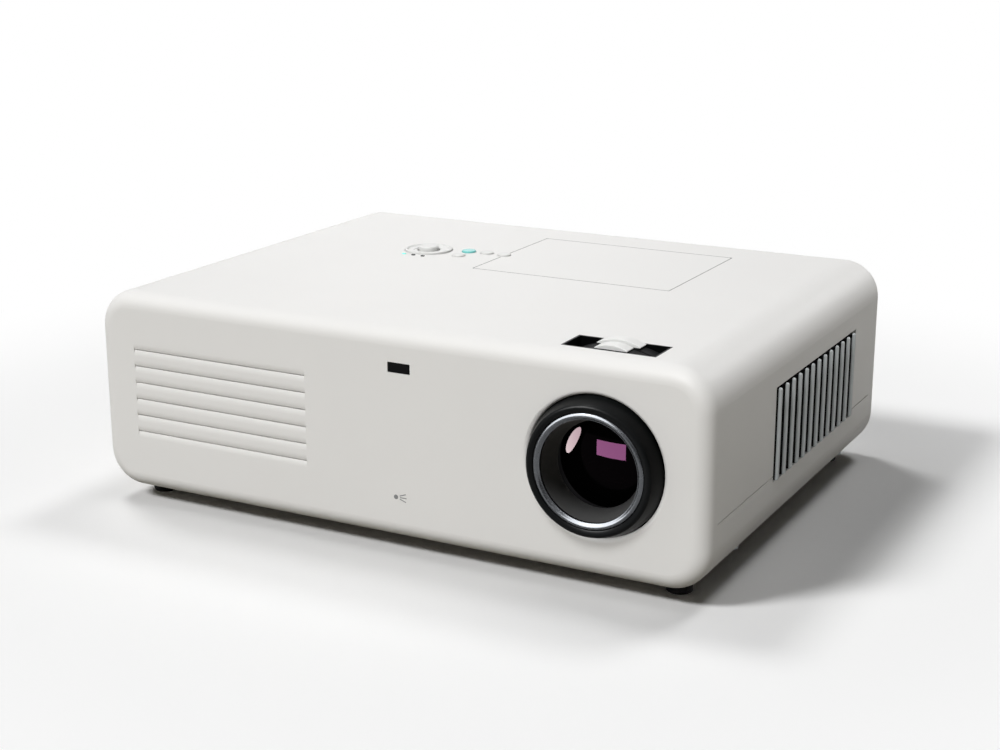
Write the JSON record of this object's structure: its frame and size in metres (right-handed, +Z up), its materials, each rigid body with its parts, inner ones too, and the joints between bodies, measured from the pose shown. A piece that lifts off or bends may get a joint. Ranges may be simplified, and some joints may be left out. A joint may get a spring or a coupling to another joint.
{
  "type": "table-top lamp projector",
  "caption": "White table-top lamp projector with an off-centre lens, focus and zoom levers, key pad, lift-off lamp hatch, finned side exhaust and screw feet.",
  "frame": {"origin": "on the table, under the middle of the whole outline", "axes": "+Z up, +X towards the lens side, +Y from the lens face to the socket panel"},
  "size_m": [0.3668, 0.2806, 0.1218],
  "materials": {
    "white_case": "fine satin moulded texture",
    "white_grips": "satin",
    "white_keys": "satin",
    "cyan_key": "semi-gloss, translucent",
    "status_lens": "clear gloss",
    "infrared_window": "polished",
    "black_bezel": "satin",
    "chrome_ring": "polished",
    "dark_baffle": "satin",
    "black_barrel": "matt",
    "coated_glass": "coated, polished",
    "prism_glass": "polished",
    "grey_fins": "satin",
    "black_moulding": "matt",
    "foot_rubber": "matt",
    "bright_steel": "zinc plated",
    "brass": "turned",
    "rear_panel_grey": "satin",
    "computer_blue": "satin, with plated shells",
    "video_black": "semi-gloss",
    "green_board": "varnished",
    "speaker_cone": "doped paper",
    "lamp_metal": "pressed sheet",
    "lamp_mirror": "dichroic coated",
    "filter_foam": "open-cell foam"
  },
  "bodies": {
    "case": {"upper_case": "white_case", "lower_case": "white_case", "ir_window": "infrared_window", "lens_bezel": "black_bezel", "lens_trim_ring": "chrome_ring", "lens_baffle": "dark_baffle", "lens_barrel": "black_barrel", "rear_glass": "coated_glass", "dial_window": "black_bezel", "key_board": "green_board", "status_lights": "status_lens", "exhaust_grille": "grey_fins", "exhaust_duct": "black_moulding", "fan_frames": "black_moulding", "rear_feet": "foot_rubber", "rear_panel": "rear_panel_grey", "computer_sockets": "computer_blue", "video_sockets": "video_black", "mains_inlet": "video_black", "switch_frame": "video_black", "main_board": "green_board", "power_board": "green_board", "lamp_ballast": "green_board", "screws": "bright_steel", "mount_inserts": "brass", "speaker": "speaker_cone", "lamp_housing": "lamp_metal", "lamp_bulb": "lamp_mirror", "lamp_handle": "lamp_metal", "optical_tray": "black_moulding", "optics_lid": "black_moulding", "prism_block": "prism_glass", "relay_optics": "prism_glass"},
    "hatch": {"lamp_cover": "white_case"},
    "filter": {"filter_cover": "white_case", "air_filter": "filter_foam"},
    "focus_dial": {"focus_ring": "black_barrel", "focus_grip": "white_grips"},
    "focus_lens": {"focus_cell": "black_barrel", "front_glass": "coated_glass"},
    "zoom_dial": {"zoom_ring": "black_barrel", "zoom_grip": "white_grips"},
    "zoom_lens": {"zoom_cell": "black_barrel", "zoom_glass": "coated_glass"},
    "power_button": {"power_key": "cyan_key"},
    "input_button": {"input_key": "white_keys"},
    "menu_button": {"menu_key": "white_keys"},
    "auto_button": {"auto_key": "white_keys"},
    "ok_button": {"ok_key": "white_keys"},
    "nav_tilt_frame": {"nav_gimbal": "black_moulding"},
    "nav_disc": {"nav_ring": "white_keys"},
    "intake_fan": {"intake_rotor": "black_moulding"},
    "front_exhaust_fan": {"front_exhaust_rotor": "black_moulding"},
    "rear_exhaust_fan": {"rear_exhaust_rotor": "black_moulding"},
    "left_foot_carrier": {"foot_clip_left": "bright_steel"},
    "left_foot": {"front_foot_left": "foot_rubber"},
    "right_foot_carrier": {"foot_clip_right": "bright_steel"},
    "right_foot": {"front_foot_right": "foot_rubber"},
    "mains_switch": {"mains_rocker": "video_black"}
  },
  "joints": [
    {"name": "hatch_lift", "type": "slide", "parent": "case", "child": "hatch", "axis": [0, 0, 1], "range_m": [0, 0.05]},
    {"name": "filter_pull", "type": "slide", "parent": "case", "child": "filter", "axis": [-1, 0, 0], "range_m": [0, 0.05]},
    {"name": "focus_turn", "type": "hinge", "parent": "case", "child": "focus_dial", "pos_m": [0.1212, -0.13215, 0.0643], "axis": [0, 1, 0], "range_deg": [-15, 15]},
    {"name": "focus_travel", "type": "slide", "parent": "case", "child": "focus_lens", "axis": [0, 1, 0], "range_m": [-0.002, 0.002]},
    {"name": "zoom_turn", "type": "hinge", "parent": "case", "child": "zoom_dial", "pos_m": [0.1212, -0.13215, 0.0643], "axis": [0, 1, 0], "range_deg": [-12, 12]},
    {"name": "zoom_travel", "type": "slide", "parent": "case", "child": "zoom_lens", "axis": [0, 1, 0], "range_m": [-0.003, 0.003]},
    {"name": "power_press", "type": "slide", "parent": "case", "child": "power_button", "axis": [0, 0, -1], "range_m": [0, 0.0008], "stiffness_N_per_m": 2500},
    {"name": "input_press", "type": "slide", "parent": "case", "child": "input_button", "axis": [0, 0, -1], "range_m": [0, 0.0008], "stiffness_N_per_m": 2500},
    {"name": "menu_press", "type": "slide", "parent": "case", "child": "menu_button", "axis": [0, 0, -1], "range_m": [0, 0.0008], "stiffness_N_per_m": 2500},
    {"name": "auto_press", "type": "slide", "parent": "case", "child": "auto_button", "axis": [0, 0, -1], "range_m": [0, 0.0008], "stiffness_N_per_m": 2500},
    {"name": "ok_press", "type": "slide", "parent": "case", "child": "ok_button", "axis": [0, 0, -1], "range_m": [0, 0.0008], "stiffness_N_per_m": 2500},
    {"name": "nav_tip_front", "type": "hinge", "parent": "case", "child": "nav_tilt_frame", "pos_m": [-0.0709, 0.04205, 0.1101], "axis": [1, 0, 0], "range_deg": [-1.6, 1.6], "stiffness_Nm_per_rad": 0.5},
    {"name": "nav_tip_side", "type": "hinge", "parent": "nav_tilt_frame", "child": "nav_disc", "pos_m": [-0.0709, 0.04205, 0.1101], "axis": [0, 1, 0], "range_deg": [-1.6, 1.6], "stiffness_Nm_per_rad": 0.5},
    {"name": "intake_spin", "type": "hinge", "parent": "case", "child": "intake_fan", "pos_m": [-0.158, 0.01585, 0.0635], "axis": [1, 0, 0], "continuous": true},
    {"name": "front_exhaust_spin", "type": "hinge", "parent": "case", "child": "front_exhaust_fan", "pos_m": [0.157, -0.00725, 0.0635], "axis": [1, 0, 0], "continuous": true},
    {"name": "rear_exhaust_spin", "type": "hinge", "parent": "case", "child": "rear_exhaust_fan", "pos_m": [0.157, 0.05775, 0.0635], "axis": [1, 0, 0], "continuous": true},
    {"name": "left_foot_drop", "type": "slide", "parent": "case", "child": "left_foot_carrier", "axis": [0, 0, -1], "range_m": [0, 0.012]},
    {"name": "left_foot_turn", "type": "hinge", "parent": "left_foot_carrier", "child": "left_foot", "pos_m": [-0.1577, -0.10915, 0.003], "axis": [0, 0, 1], "range_deg": [0, 2880]},
    {"name": "right_foot_drop", "type": "slide", "parent": "case", "child": "right_foot_carrier", "axis": [0, 0, -1], "range_m": [0, 0.012]},
    {"name": "right_foot_turn", "type": "hinge", "parent": "right_foot_carrier", "child": "right_foot", "pos_m": [0.1577, -0.10915, 0.003], "axis": [0, 0, 1], "range_deg": [0, 2880]},
    {"name": "mains_rock", "type": "hinge", "parent": "case", "child": "mains_switch", "pos_m": [-0.088, 0.13295, 0.0415], "axis": [1, 0, 0], "range_deg": [0, 14]}
  ],
  "couplings": [
    {"joint": "focus_travel", "follows": "focus_turn", "m_per_rad": 0.00763},
    {"joint": "zoom_travel", "follows": "zoom_turn", "m_per_rad": 0.01432},
    {"joint": "left_foot_turn", "follows": "left_foot_drop", "rad_per_m": 4188.7},
    {"joint": "right_foot_turn", "follows": "right_foot_drop", "rad_per_m": 4188.7}
  ]
}
